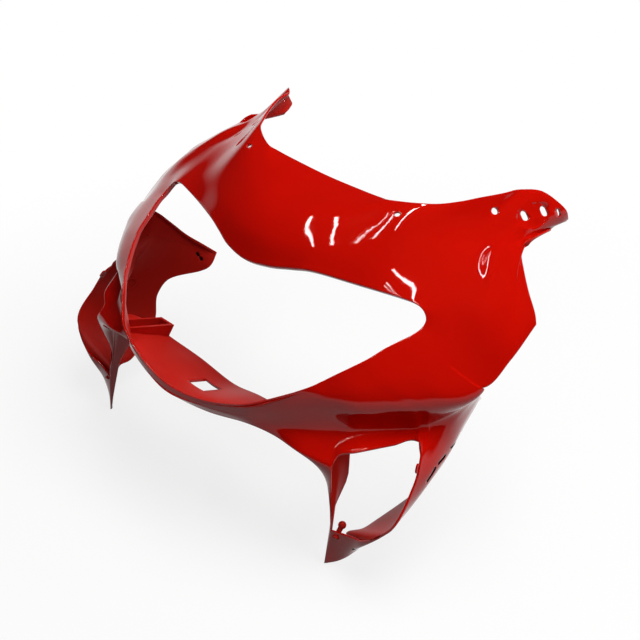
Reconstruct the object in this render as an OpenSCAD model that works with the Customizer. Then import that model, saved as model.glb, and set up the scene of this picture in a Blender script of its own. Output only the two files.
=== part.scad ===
// Upper front fairing of a sports motorcycle: one moulded and painted shell.
// Right half is modelled as a skin that runs round the headlight opening, then mirrored.
// Frame: X to the rider's left as seen from the front, -Y forward, +Z up, centre plane X = 0.

/* [Shell] */
// Thickness of the moulded wall
wall = 2.6; // [2:0.1:3]

/* [Headlight opening] */
// Half the width of the headlight opening
lamp_half_w = 203; // [195:1:210]
// How far the beak reaches forward of the origin, as its Y
beak_y = 62; // [50:1:70]
// Height of the beak's tip
beak_z = 260; // [252:1:266]
// Y of the chin's front, on the centre plane
chin_y = -45; // [-55:1:-38]
// Height of the opening's edge at the chin
chin_z = 153; // [148:1:160]
// Depth of the return lip round the opening
lip = 6; // [4:0.5:9]

/* [Windscreen edge and ears] */
// Y of the windscreen edge on the centre plane
screen_y = 183; // [175:1:200]
// Height of the windscreen edge
screen_z = 316; // [308:1:325]
// Half the width over the mirror ears
ear_half_w = 214; // [205:1:225]
// Y of the ear's rear end
ear_y = 327; // [315:1:345]

/* [Sides] */
// Half the width over the side panels, the widest place
side_half_w = 275; // [268:1:285]
// Y of the side panel's rear corner
side_y = 205; // [195:1:220]
// Y of the lower wing's rear corner
wing_y = 199; // [185:1:210]

/* [Air ducts] */
// X of the duct's inner wall, at its front edge
duct_in_x = 186; // [178:1:192]
// X of the duct's outer wall, at its widest
duct_out_x = 268; // [260:1:275]
// Height of the duct's bottom lip above the fin's tip
fin_drop = 42; // [35:1:50]
// Diameter of the round head on the duct liner's pin
pin_head_d = 8.5; // [7:0.5:10]
// Diameter of that pin's neck
pin_neck_d = 5.5; // [4:0.5:6.5]
// Length of the pin from the fin to the middle of its head
pin_l = 14.5; // [11:0.5:17]

/* [Chin floor] */
// Y of the floor's back edge on the centre plane
floor_y = 40; // [30:1:50]
// Width of the rectangular hole in the floor
floor_hole_w = 26; // [18:1:34]
// Length of that hole, front to back
floor_hole_l = 24; // [16:1:30]
// Height of the open pockets' rim above the floor
pocket_h = 13; // [8:1:18]

/* [Fixing holes] */
// Width of the two slotted mirror bolt holes
mirror_slot_w = 7; // [6:0.5:9]
// Length of those slots
mirror_slot_l = 11; // [9.5:0.5:13]
// Diameter of the windscreen screw holes
screen_hole_d = 6.5; // [4:0.5:8]
// Diameter of the screw hole at the ear's root
root_hole_d = 7.5; // [5:0.5:9]
// Width of the small slot at the ear's tip
tip_slot_w = 3.5; // [3:0.5:5]
// Length of that slot
tip_slot_l = 8; // [6:0.5:10]
// Depth of the recess that the mirror's foot sits in
pad_depth = 0.9; // [0.5:0.1:1.2]

/* [Hidden] */
// Moves the part so that its box stands centred on the origin, its lowest point at Z = 0.
to_frame = [0, -138.55, 0.4];
paint_red = [0.72, 0.03, 0.02];
bore_fn = 48;
bore_l = 16;
slot_turn = 10;
// Way that the opening's lip is turned in, as a unit vector.
lip_dir = [0, sqrt(0.5), -sqrt(0.5)];
// How far towards the shelf's edge the shelf stays flat, as a share of its depth.
shelf_flat = 0.75;
// Holes in the upper skin, each as [station, row].
screen_hole = [3.71, 3];
root_hole = [5.5, 3.47];
mirror_pad = [6.23, 3.61];
mirror_hole_1 = [6.1, 3.55];
mirror_hole_2 = [6.22, 3.77];
tip_hole = [6.4, 3.9];
// Edge of the mirror pad's recess, as [station, row, share of the full depth].
pad_edge = [
    [5.92, 3.6, 0.1], [6.02, 3.48, 0.5], [6.2, 3.42, 1], [6.42, 3.43, 1], [6.56, 3.5, 1],
    [6.58, 3.6, 1], [6.46, 3.71, 1], [6.28, 3.8, 0.8], [6.1, 3.85, 0.3], [5.98, 3.74, 0.1]
];
floor_hole_y = 2;
// Feet of the open pocket on the chin floor, in the lower skin, and how far its rim leans out.
pocket_feet = [[19.25, 4.75], [20.4, 6.85], [20.95, 6.9], [19.75, 4.7]];
pocket_lean = [[0, 0], [0, 0.9], [-6, 4.7], [0, -1]];
duct_pin_at = [17.72, 6.15];
duct_pin_tilt = 41;

// A feature curve is a list of [station, point]. A station given twice is a sharp corner.
function slope(c, k) = (c[k + 1][1] - c[k][1]) / (c[k + 1][0] - c[k][0]);
function tangent(c, i) =
    i == 0 || (i > 0 && c[i][0] == c[i - 1][0]) ? slope(c, i)
    : i == len(c) - 1 || c[i][0] == c[i + 1][0] ? slope(c, i - 1)
    : let (a = c[i][0] - c[i - 1][0], b = c[i + 1][0] - c[i][0])
      (slope(c, i - 1) * b + slope(c, i) * a) / (a + b);
function hermite(c, k, s) =
    let (h = c[k + 1][0] - c[k][0], t = (s - c[k][0]) / h, t2 = t * t, t3 = t2 * t)
    (2 * t3 - 3 * t2 + 1) * c[k][1] + (t3 - 2 * t2 + t) * h * tangent(c, k)
    + (3 * t2 - 2 * t3) * c[k + 1][1] + (t3 - t2) * h * tangent(c, k + 1);
function along(c, s) =
    let (k = max([for (i = [0 : len(c) - 2]) if (c[i][0] <= s + 1e-9 && c[i + 1][0] > c[i][0]) i]))
    hermite(c, k, s);

// Upper skin: stations run from the centre plane, 0, to the side panel's bottom edge, 10.
lamp_top = [
    [0, [0, beak_y, beak_z]],
    [1, [31, beak_y + 4, beak_z + 3]],
    [2, [56, beak_y + 13, beak_z + 7]],
    [3, [80, 84, 270]],
    [4, [125, 103, 266]],
    [5, [lamp_half_w - 38, 117, 264]],
    [6, [lamp_half_w - 19, 123, 262]],
    [7, [lamp_half_w - 8, 124, 258]],
    [8, [lamp_half_w - 2, 122, 251]],
    [9, [lamp_half_w - 1, 115, 245]],
    [10, [lamp_half_w - 3, 104, 241]]
];
hood_low = [
    [0, [0, beak_y + 19.5, beak_z + 23.5]],
    [2, [52, 93, 286.5]],
    [3, [80, 104.5, 287.5]],
    [4, [122, 124, 284]],
    [5, [160.5, 139.5, 276.5]],
    [6, [188, 146, 270]],
    [8, [222, 140, 250]],
    [10, [237, 112.5, 223.5]]
];
hood_mid = [
    [0, [0, 110, 300]],
    [2, [48, 120, 303]],
    [3, [78.5, 132, 304]],
    [4, [123, 150.5, 301.5]],
    [5, [157.5, 173, 294]],
    [6, [190, 186.5, 285.5]],
    [8, [239, 166.5, 257.5]],
    [10, [side_half_w - 4.5, 130, 201.5]]
];
hood_high = [
    [0, [0, screen_y - 37, screen_z - 7]],
    [2, [51, screen_y - 32, screen_z - 4]],
    [3, [83, screen_y - 24.5, screen_z - 2]],
    [4, [126, 178, screen_z]],
    [5, [158.5, 211, 308.5]],
    [6, [188, 232, 298.5]],
    [7, [208, 226, 292.5]],
    [7.8, [222, 217, 283]],
    [8, [230.5, 210.5, 276.5]],
    [8.5, [246, 197, 262]],
    [9, [262.5, 178, 242]],
    [10, [side_half_w + 1.5, 164, 221]]
];
outline = [
    [0, [0, screen_y, screen_z - 1]],
    [1, [40, screen_y, screen_z]],
    [2, [78, screen_y, screen_z + 2]],
    [3, [99, screen_y + 1, screen_z + 5]],
    [3.5, [118, screen_y + 11, screen_z + 6]],
    [4, [138, screen_y + 26, screen_z + 7]],
    [4.4, [150, 226, screen_z + 8]],
    [4.8, [161, 244, screen_z + 10]],
    [5.3, [175, 273, screen_z + 11]],
    [5.6, [179, 290, screen_z + 10]],
    [5.9, [ear_half_w - 21, 303, screen_z + 9]],
    [6.2, [ear_half_w - 7, ear_y - 12, screen_z - 3]],
    [6.4, [ear_half_w, ear_y - 7, screen_z - 11]],
    [6.7, [ear_half_w, ear_y, 290]],
    [6.7, [ear_half_w, ear_y, 290]],
    [7.0, [ear_half_w - 6, 312, 286]],
    [7.4, [ear_half_w - 3, 290, 290]],
    [7.8, [ear_half_w, 267, 293]],
    [8.1, [215, 257, 292]],
    [8.5, [222, 240, 284]],
    [8.9, [232, 231, 278]],
    [9.3, [249, 219, 265]],
    [9.8, [side_half_w - 6, side_y + 3, 248]],
    [10, [side_half_w - 2, side_y, 242]]
];

// Lower skin: stations run from the wing's top edge, 0, past the duct, 5 to 8, to the chin, 13.
lamp_low = [
    [0, [lamp_half_w - 3, 104, 241]],
    [1, [lamp_half_w - 8, 92, 237]],
    [2, [189, 78, 232]],
    [3, [184, 64, 226]],
    [5, [175, 48, 218]],
    [7, [164, 32, 209]],
    [8, [157, 23, 203]],
    [9, [147.5, 11, 196]],
    [10, [120, -13, 180]],
    [11, [98, -28, 170]],
    [12, [50, -40, chin_z + 4]],
    [13, [0, chin_y, chin_z]]
];
cheek = [
    [0, [237, 112.5, 223.5]],
    [2, [230.5, 88.5, 213]],
    [3, [221.5, 74, 209]],
    [5, [209, 56.5, 204]],
    [7, [187, 33, 196]],
    [8, [170, 21.5, 192.5]],
    [9, [149.5, 9.5, 190]],
    [10, [120, -12, 173]],
    [11, [96, -28, 164]],
    [12, [50, -40.5, chin_z - 1]],
    [13, [0, chin_y - 1.5, chin_z - 4.5]]
];
belt = [
    [0, [side_half_w - 4.5, 130, 201.5]],
    [1, [side_half_w - 7.5, 115, 193.5]],
    [2, [side_half_w - 17, 99, 191]],
    [3, [247, 86, 188]],
    [5, [236.5, 74.5, 186.5]],
    [6, [224.5, 61.5, 184.5]],
    [7, [197.5, 36, 182]],
    [8, [174.5, 22, 182]],
    [9, [151, 8.5, 179.5]],
    [10, [120, -11, 165]],
    [11, [94.5, -27.5, 156.5]],
    [12, [50, -40.5, chin_z - 3]],
    [13, [0, chin_y - 2, chin_z - 6.5]]
];
crease = [
    [0, [260, 143, 185]],
    [1, [252, 122, 169]],
    [2, [245, 105, 162]],
    [3, [240, 95, 158]],
    [5, [235, 86, 156]],
    [6, [219, 70, 154]],
    [7, [196, 42, 153]],
    [8, [178, 25, 151]],
    [9, [153, 9, 149]],
    [10, [119, -9, 147]],
    [11, [93, -27, 150]],
    [12, [50, -40.5, chin_z - 5]],
    [13, [0, chin_y - 3, chin_z - 8.5]]
];
shelf = [
    [0, [248, 158, 168]],
    [1, [248, 130, 155]],
    [2, [250, 108, 147]],
    [3, [251, 90, 145]],
    [5, [254, 66, 145]],
    [5, [254, 66, 145]],
    [5.15, [249, 69, 153.5]],
    [5.35, [240, 71, 152]],
    [6, [228, 54, 149]],
    [7, [207, 22, 145]],
    [7.6, [193, 11, 139]],
    [8, [duct_in_x + 7, 2, 131]],
    [8, [duct_in_x + 7, 2, 131]],
    [9, [157, -8, 135]],
    [10, [122, -10, 136]],
    [11, [95, -23, 143]],
    [12, [51, -37, chin_z - 12]],
    [13, [0, chin_y + 1, chin_z - 12]]
];
wall_mid = [
    [0, [238, 171, 153]],
    [1, [243, 142, 138]],
    [2, [252, 112, 125]],
    [3, [260, 84, 122]],
    [5, [duct_out_x - 4, 45, 119]],
    [5, [duct_out_x - 4, 45, 119]],
    [8, [duct_in_x - 2, 9, 83]],
    [8, [duct_in_x - 2, 9, 83]],
    [9, [169, 8, 126]],
    [10, [125, 5, 131]],
    [11, [97, -6, 138]],
    [12, [51, -16, 139]],
    [13, [0, -20, 134]]
];
wall_low = [
    [0, [228, 185, 140]],
    [1, [232, 158, 122]],
    [2, [243, 118, 107]],
    [3, [251, 74, 92]],
    [4, [254, 42, 80]],
    [5, [261, 15, 80]],
    [5, [261, 15, 80]],
    [5.4, [254, 11, 72]],
    [6, [236, 8, fin_drop + 15]],
    [7, [215, 10, fin_drop + 5]],
    [8, [duct_in_x + 2, 6, fin_drop]],
    [8, [duct_in_x + 2, 6, fin_drop]],
    [9, [175, 24, 124]],
    [10, [128, 24, 126]],
    [11, [98, 14, 132]],
    [12, [51, 10, 131]],
    [13, [0, 10, 122]]
];
bottom_edge = [
    [0, [218, wing_y, 126]],
    [0.5, [214, 186, 115]],
    [1, [219, 174, 110]],
    [1.7, [236, 135, 106]],
    [2.2, [237, 118, 92]],
    [3, [226, 102, 64]],
    [4, [209, 52, 38]],
    [4.6, [208, 34, 37.5]],
    [5.2, [200, 20, 36]],
    [5.8, [216, 22, 32]],
    [6.6, [208, 17, 16]],
    [7.3, [198, 9, 6]],
    [8, [duct_in_x, 0, 0]],
    [8, [duct_in_x, 0, 0]],
    [8.25, [183, 11, 44]],
    [8.5, [181, 18, 66]],
    [8.65, [180, 28, 78]],
    [8.8, [179, 37, 90]],
    [9, [178, 41, 117]],
    [9, [178, 41, 117]],
    [10, [132, 42, 121]],
    [11, [100, 34, 126]],
    [12, [50, 36, 121]],
    [13, [0, floor_y, 110]]
];

// Curves that run on from the upper skin into the lower one count the lower stations from 10.
// Each curve gets a mirrored neighbour past the centre plane, so that the halves meet without a ridge.
function flip(p) = [-p[0], p[1], p[2]];
function shifted(c) = [for (p = c) [p[0] + 10, p[1]]];
function joined(a, b) = concat(a, tail(shifted(b), 1));
function from_centre(c) = concat([[-c[1][0], flip(c[1][1])]], c);
function to_centre(c) = let (n = len(c)) concat(c, [[2 * c[n - 1][0] - c[n - 2][0], flip(c[n - 2][1])]]);
function whole(c) = from_centre(to_centre(c));
lamp_edge = whole(joined(lamp_top, lamp_low));
brow = whole(joined(hood_low, cheek));
waist = whole(joined(hood_mid, belt));
upper_rows = [lamp_edge, brow, waist, from_centre(hood_high), from_centre(outline)];
lower_rows = concat(
    [lamp_edge, brow, waist],
    [for (c = [crease, shelf, wall_mid, wall_low, bottom_edge]) to_centre(shifted(c))]);

// The skin's grid: stations across, rows from the headlight opening outwards.
upper_s = concat([for (i = [0 : 11]) i * 0.4], [for (i = [1 : 28]) 4.4 + i * 0.2]);
lower_s = [for (i = [0 : 39]) 10 + i / 3];
upper_v = [for (i = [0 : 12]) i / 3];
lower_v = concat([for (i = [0 : 6]) i / 3], [for (i = [1 : 10]) 2 + i / 2]);
shared_rows = 7;

function flat_shelf(c) =
    len(c) < 6 ? c
    : concat([for (i = [0 : 3]) c[i]], [[3 + shelf_flat, (1 - shelf_flat) * c[3][1] + shelf_flat * c[4][1]]], tail(c, 4));
function section(rows, s) = flat_shelf([for (r = [0 : len(rows) - 1]) [r, along(rows[r], s)]]);
function lined(c, vs) = concat([c[0][1] + lip * lip_dir], [for (v = vs) along(c, v)]);
function half(rows, stations, vs) = [for (s = stations) lined(section(rows, s), vs)];
function flipped(g) = [for (i = [len(g) - 1 : -1 : 0]) [for (p = g[i]) flip(p)]];
function tail(g, a) = [for (i = [a : len(g) - 1]) g[i]];

upper_half = half(upper_rows, upper_s, upper_v);
lower_half = half(lower_rows, lower_s, lower_v);
upper = concat(flipped(upper_half), tail(upper_half, 1));
lower = concat(lower_half, tail(flipped(lower_half), 1));

// Both halves of the upper and lower skin share the points between cheek and side panel.
na = len(upper);
nb = len(lower);
ra = len(upper_v) + 1;
rb = len(lower_v) + 1;
outer = concat([for (c = upper) each c], [for (c = lower) each c]);
function ida(i, j) = i * ra + j;
function idb(i, j) =
    i == 0 && j <= shared_rows ? ida(na - 1, j)
    : i == nb - 1 && j <= shared_rows ? ida(0, j)
    : na * ra + i * rb + j;
function before_a(i, j) = i > 0 ? ida(i - 1, j) : j <= shared_rows ? idb(nb - 2, j) : ida(i, j);
function after_a(i, j) = i < na - 1 ? ida(i + 1, j) : j <= shared_rows ? idb(1, j) : ida(i, j);
function before_b(i, j) = idb(max(i - 1, 0), j);
function after_b(i, j) = idb(min(i + 1, nb - 1), j);
function unit(v) = v / norm(v);
function facing(b, a, lo, hi) = unit(cross(outer[a] - outer[b], outer[hi] - outer[lo]));
normals = concat(
    [for (i = [0 : na - 1]) for (j = [0 : ra - 1])
        facing(before_a(i, j), after_a(i, j), ida(i, max(j - 1, 0)), ida(i, min(j + 1, ra - 1)))],
    [for (i = [0 : nb - 1]) for (j = [0 : rb - 1])
        facing(before_b(i, j), after_b(i, j), idb(i, max(j - 1, 0)), idb(i, min(j + 1, rb - 1)))]);
inner = [for (k = [0 : len(outer) - 1]) outer[k] - wall * normals[k]];
nv = len(outer);

// The ducts are left open: stations 5 to 8, rows from the shelf's edge to the bottom lip.
duct_from = 15;
duct_to = 23;
duct_row_from = 11;
duct_row_to = 14;
function in_duct(i, j) =
    j >= duct_row_from && j <= duct_row_to
    && ((i >= duct_from && i <= duct_to) || (nb - 2 - i >= duct_from && nb - 2 - i <= duct_to));
function is_a(i, j) = i >= 0 && i < na - 1 && j >= 0 && j < ra - 1;
function is_b(i, j) = i >= 0 && i < nb - 1 && j >= 0 && j < rb - 1 && !in_duct(i, j);

// A cell gives two triangles outside and two inside, cut along its shorter diagonal.
function cell(a, b, c, d) =
    norm(outer[a] - outer[c]) < norm(outer[b] - outer[d]) - 0.001
    ? [[a, d, c], [a, c, b], [a + nv, c + nv, d + nv], [a + nv, b + nv, c + nv]]
    : [[a, d, b], [b, d, c], [a + nv, b + nv, d + nv], [b + nv, c + nv, d + nv]];
// A free edge from p to q is closed by two triangles between the faces.
function edge(p, q) = [[p, q, q + nv], [p, q + nv, p + nv]];
faces_a = [for (i = [0 : na - 2]) for (j = [0 : ra - 2])
    let (a = ida(i, j), b = ida(i + 1, j), c = ida(i + 1, j + 1), d = ida(i, j + 1))
    each concat(
        cell(a, b, c, d),
        j == 0 ? edge(a, b) : [],
        j == ra - 2 ? edge(c, d) : [],
        i == 0 && j >= shared_rows ? edge(d, a) : [],
        i == na - 2 && j >= shared_rows ? edge(b, c) : [])];
faces_b = [for (i = [0 : nb - 2]) for (j = [0 : rb - 2]) if (is_b(i, j))
    let (a = idb(i, j), b = idb(i + 1, j), c = idb(i + 1, j + 1), d = idb(i, j + 1))
    each concat(
        cell(a, b, c, d),
        !is_b(i, j - 1) ? edge(a, b) : [],
        !is_b(i, j + 1) ? edge(c, d) : [],
        (i == 0 ? j >= shared_rows : !is_b(i - 1, j)) ? edge(d, a) : [],
        (i == nb - 2 ? j >= shared_rows : !is_b(i + 1, j)) ? edge(b, c) : [])];

module skin() {
    polyhedron(points = concat(outer, inner), faces = concat(faces_a, faces_b), convexity = 12);
}

module both() {
    children();
    mirror([1, 0, 0]) children();
}

// Turns +Z to the direction n.
module facing_to(n) {
    rotate([0, acos(n[2] / norm(n)), atan2(n[1], n[0])]) children();
}

// A point of the upper or lower skin, and the way that the skin faces there.
function at(rows, h) = along(section(rows, h[0]), h[1]);
function facing_at(rows, h, e = 0.02) =
    unit(cross(at(rows, h + [e, 0]) - at(rows, h - [e, 0]), at(rows, h + [0, e]) - at(rows, h - [0, e])));

// A round hole through the upper skin, square to it.
module bore(h, d) {
    translate(at(upper_rows, h)) facing_to(facing_at(upper_rows, h)) cylinder(h = bore_l, d = d, center = true, $fn = bore_fn);
}

// A slotted hole, w wide and l long, upright on the ear and square to the skin at pad.
module slot(h, pad, w, l) {
    translate(at(upper_rows, h)) facing_to(facing_at(upper_rows, pad)) rotate([0, 0, slot_turn]) {
        for (e = [-1, 1]) translate([e * (l - w) / 2, 0, 0]) cylinder(h = bore_l, d = w, center = true, $fn = bore_fn);
        cube([l - w, w, bore_l], center = true);
    }
}

// Open pocket on the chin floor, behind the headlight's lower corner: a wall of three sides,
// from inside the floor's thickness to a level rim.
module pocket() {
    feet = [for (h = pocket_feet) at(lower_rows, h) - [0, 0, wall / 2]];
    top = feet[3][2] + wall / 2 + pocket_h;
    rim = [for (i = [0 : 3]) [feet[i][0], feet[i][1]] + pocket_lean[i]];
    ring = concat([for (i = [0 : 3]) [feet[i][0], feet[i][1]]], [for (i = [3 : -1 : 0]) inset(feet, i)]);
    upper_ring = concat(rim, [for (i = [3 : -1 : 0]) inset(rim, i)]);
    low = [for (i = [0 : 3]) feet[i][2]];
    n = len(ring);
    polyhedron(
        points = concat(
            [for (i = [0 : n - 1]) [ring[i][0], ring[i][1], low[i < 4 ? i : 7 - i]]],
            [for (i = [0 : n - 1]) [upper_ring[i][0], upper_ring[i][1], top]]),
        faces = concat(
            [for (i = [0 : 2]) each [[i, i + 1, 6 - i], [i, 6 - i, 7 - i]]],
            [for (i = [0 : 2]) each [[n + i, n + 6 - i, n + i + 1], [n + i, n + 7 - i, n + 6 - i]]],
            [for (i = [0 : n - 1]) let (k = (i + 1) % n) each [[i, i + n, k + n], [i, k + n, k]]]));
}
// Corner i of a line of points, moved to its left by the wall's thickness.
function left_of(a, b) = unit([a[1] - b[1], b[0] - a[0]]);
function inset(p, i) =
    let (a = left_of(p[max(i - 1, 0)], p[max(i, 1)]), b = left_of(p[min(i, 2)], p[min(i + 1, 3)]))
    [p[i][0], p[i][1]] + wall * (a + b) / (1 + a * b);

// Round-headed pin inside the fin, under the duct, for the duct liner.
module duct_pin() {
    translate(at(lower_rows, duct_pin_at)) rotate([-duct_pin_tilt, 0, 0]) {
        cylinder(h = pin_l, d = pin_neck_d, $fn = 20);
        translate([0, 0, pin_l]) sphere(d = pin_head_d, $fn = 20);
    }
}

// What is cut away for the mirror's foot: it follows the skin, pad_depth below it, and runs out at the top.
module mirror_recess() {
    n = len(pad_edge);
    hs = [for (p = pad_edge) [p[0], p[1]]];
    mids = [for (h = hs) (h + mirror_pad) / 2];
    depths = [for (p = pad_edge) pad_depth * p[2]];
    floor = concat(
        [at(upper_rows, mirror_pad) - pad_depth * facing_at(upper_rows, mirror_pad)],
        [for (i = [0 : n - 1]) at(upper_rows, mids[i]) - (depths[i] + pad_depth) / 2 * facing_at(upper_rows, mids[i])],
        [for (i = [0 : n - 1]) at(upper_rows, hs[i]) - depths[i] * facing_at(upper_rows, hs[i])]);
    lid = concat([for (h = hs) at(upper_rows, h) + 3 * facing_at(upper_rows, h)],
        [at(upper_rows, mirror_pad) + 4 * facing_at(upper_rows, mirror_pad)]);
    polyhedron(
        points = concat(floor, lid),
        faces = [for (i = [0 : n - 1]) let (k = (i + 1) % n) each [
            [0, 1 + i, 1 + k],
            [1 + i, 1 + n + i, 1 + n + k],
            [1 + i, 1 + n + k, 1 + k],
            [1 + n + i, 1 + 2 * n + i, 1 + 2 * n + k],
            [1 + n + i, 1 + 2 * n + k, 1 + n + k],
            [1 + 3 * n, 1 + 2 * n + k, 1 + 2 * n + i]]]);
}

module fairing_shell() {
    color(paint_red)
    translate(to_frame)
    difference() {
        union() {
            skin();
            both() pocket();
            both() duct_pin();
        }
        both() {
            mirror_recess();
            bore(screen_hole, screen_hole_d);
            bore(root_hole, root_hole_d);
            slot(tip_hole, tip_hole, tip_slot_w, tip_slot_l);
            slot(mirror_hole_1, mirror_pad, mirror_slot_w, mirror_slot_l);
            slot(mirror_hole_2, mirror_pad, mirror_slot_w, mirror_slot_l);
        }
        translate([0, floor_hole_y, chin_z - 33]) cube([floor_hole_w, floor_hole_l, 60], center = true);
    }
}

fairing_shell();
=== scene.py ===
"""Upper front fairing of a sports motorcycle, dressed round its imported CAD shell.

The outside is deep red gloss paint, the inside is the satin back of the moulding.
"""
import math

import bmesh
import bpy
import numpy as np
from mathutils import Matrix, Vector

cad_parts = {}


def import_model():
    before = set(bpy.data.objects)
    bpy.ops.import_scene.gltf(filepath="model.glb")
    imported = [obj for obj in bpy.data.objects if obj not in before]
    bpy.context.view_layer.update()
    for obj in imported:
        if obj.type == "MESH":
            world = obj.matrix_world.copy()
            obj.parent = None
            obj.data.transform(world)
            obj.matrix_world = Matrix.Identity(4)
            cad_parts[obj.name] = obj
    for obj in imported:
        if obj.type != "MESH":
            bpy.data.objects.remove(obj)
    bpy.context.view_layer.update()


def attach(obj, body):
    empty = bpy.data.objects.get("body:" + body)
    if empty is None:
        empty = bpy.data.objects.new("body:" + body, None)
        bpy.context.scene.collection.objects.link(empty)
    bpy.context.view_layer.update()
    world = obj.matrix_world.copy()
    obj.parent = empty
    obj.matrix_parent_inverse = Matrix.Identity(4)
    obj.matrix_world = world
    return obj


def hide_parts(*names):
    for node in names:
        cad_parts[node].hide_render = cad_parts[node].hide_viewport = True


MM = 0.001

# Sizes in millimetres, as in the part's source.
wall = 2.6
lip = 6
lamp_half_w = 203
beak_y = 62
beak_z = 260
chin_y = -45
chin_z = 153
screen_y = 183
screen_z = 316
ear_half_w = 214
ear_y = 327
side_half_w = 275
side_y = 205
wing_y = 199
duct_in_x = 186
duct_out_x = 268
fin_drop = 42
pin_head_d = 8.5
pin_neck_d = 5.5
pin_l = 14.5
floor_y = 40
floor_hole_w = 26
floor_hole_l = 24
floor_hole_y = 2
floor_hole_z = 120
floor_hole_reach = 60
hole_reach = 16
pocket_h = 13
mirror_slot_w = 7
mirror_slot_l = 11
screen_hole_d = 6.5
root_hole_d = 7.5
tip_slot_w = 3.5
tip_slot_l = 8
pad_depth = 0.9
slot_turn = 10
to_frame = (0, -138.55, 0.4)

# Way that the opening's lip is turned in, and how far the shelf stays flat towards its edge.
lip_dir = (0, math.sqrt(0.5), -math.sqrt(0.5))
shelf_flat = 0.75

# Places in the skin, each as [station, row].
screen_hole = [3.71, 3]
root_hole = [5.5, 3.47]
mirror_pad = [6.23, 3.61]
mirror_hole_1 = [6.1, 3.55]
mirror_hole_2 = [6.22, 3.77]
tip_hole = [6.4, 3.9]
duct_pin_at = [17.72, 6.15]
duct_pin_tilt = 41
# Edge of the mirror pad's recess, as [station, row, share of the full depth].
pad_edge = [
    [5.92, 3.6, 0.1], [6.02, 3.48, 0.5], [6.2, 3.42, 1], [6.42, 3.43, 1], [6.56, 3.5, 1],
    [6.58, 3.6, 1], [6.46, 3.71, 1], [6.28, 3.8, 0.8], [6.1, 3.85, 0.3], [5.98, 3.74, 0.1],
]
# Feet of the open pocket on the chin floor, in the lower skin, and how far its rim leans out.
pocket_feet = [[19.25, 4.75], [20.4, 6.85], [20.95, 6.9], [19.75, 4.7]]
pocket_lean = [[0, 0], [0, 0.9], [-6, 4.7], [0, -1]]
# How far the rim sinks at each foot, so that its front end stays under the duct's shelf.
pocket_sink = [5.5, 0, 0, 5.5]
# How deep under the outer face the feet end, inside the wall.
pocket_root = 0.8 * wall

# Upper skin: stations run from the centre plane, 0, to the side panel's bottom edge, 10.
lamp_top = [
    [0, [0, beak_y, beak_z]],
    [1, [31, beak_y + 4, beak_z + 3]],
    [2, [56, beak_y + 13, beak_z + 7]],
    [3, [80, 84, 270]],
    [4, [125, 103, 266]],
    [5, [lamp_half_w - 38, 117, 264]],
    [6, [lamp_half_w - 19, 123, 262]],
    [7, [lamp_half_w - 8, 124, 258]],
    [8, [lamp_half_w - 2, 122, 251]],
    [9, [lamp_half_w - 1, 115, 245]],
    [10, [lamp_half_w - 3, 104, 241]]
]
hood_low = [
    [0, [0, beak_y + 19.5, beak_z + 23.5]],
    [2, [52, 93, 286.5]],
    [3, [80, 104.5, 287.5]],
    [4, [122, 124, 284]],
    [5, [160.5, 139.5, 276.5]],
    [6, [188, 146, 270]],
    [8, [222, 140, 250]],
    [10, [237, 112.5, 223.5]]
]
hood_mid = [
    [0, [0, 110, 300]],
    [2, [48, 120, 303]],
    [3, [78.5, 132, 304]],
    [4, [123, 150.5, 301.5]],
    [5, [157.5, 173, 294]],
    [6, [190, 186.5, 285.5]],
    [8, [239, 166.5, 257.5]],
    [10, [side_half_w - 4.5, 130, 201.5]]
]
hood_high = [
    [0, [0, screen_y - 37, screen_z - 7]],
    [2, [51, screen_y - 32, screen_z - 4]],
    [3, [83, screen_y - 24.5, screen_z - 2]],
    [4, [126, 178, screen_z]],
    [5, [158.5, 211, 308.5]],
    [6, [188, 232, 298.5]],
    [7, [208, 226, 292.5]],
    [7.8, [222, 217, 283]],
    [8, [230.5, 210.5, 276.5]],
    [8.5, [246, 197, 262]],
    [9, [262.5, 178, 242]],
    [10, [side_half_w + 1.5, 164, 221]]
]
outline = [
    [0, [0, screen_y, screen_z - 1]],
    [1, [40, screen_y, screen_z]],
    [2, [78, screen_y, screen_z + 2]],
    [3, [99, screen_y + 1, screen_z + 5]],
    [3.5, [118, screen_y + 11, screen_z + 6]],
    [4, [138, screen_y + 26, screen_z + 7]],
    [4.4, [150, 226, screen_z + 8]],
    [4.8, [161, 244, screen_z + 10]],
    [5.3, [175, 273, screen_z + 11]],
    [5.6, [179, 290, screen_z + 10]],
    [5.9, [ear_half_w - 21, 303, screen_z + 9]],
    [6.2, [ear_half_w - 7, ear_y - 12, screen_z - 3]],
    [6.4, [ear_half_w, ear_y - 7, screen_z - 11]],
    [6.7, [ear_half_w, ear_y, 290]],
    [6.7, [ear_half_w, ear_y, 290]],
    [7.0, [ear_half_w - 6, 312, 286]],
    [7.4, [ear_half_w - 3, 290, 290]],
    [7.8, [ear_half_w, 267, 293]],
    [8.1, [215, 257, 292]],
    [8.5, [222, 240, 284]],
    [8.9, [232, 231, 278]],
    [9.3, [249, 219, 265]],
    [9.8, [side_half_w - 6, side_y + 3, 248]],
    [10, [side_half_w - 2, side_y, 242]]
]

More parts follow.
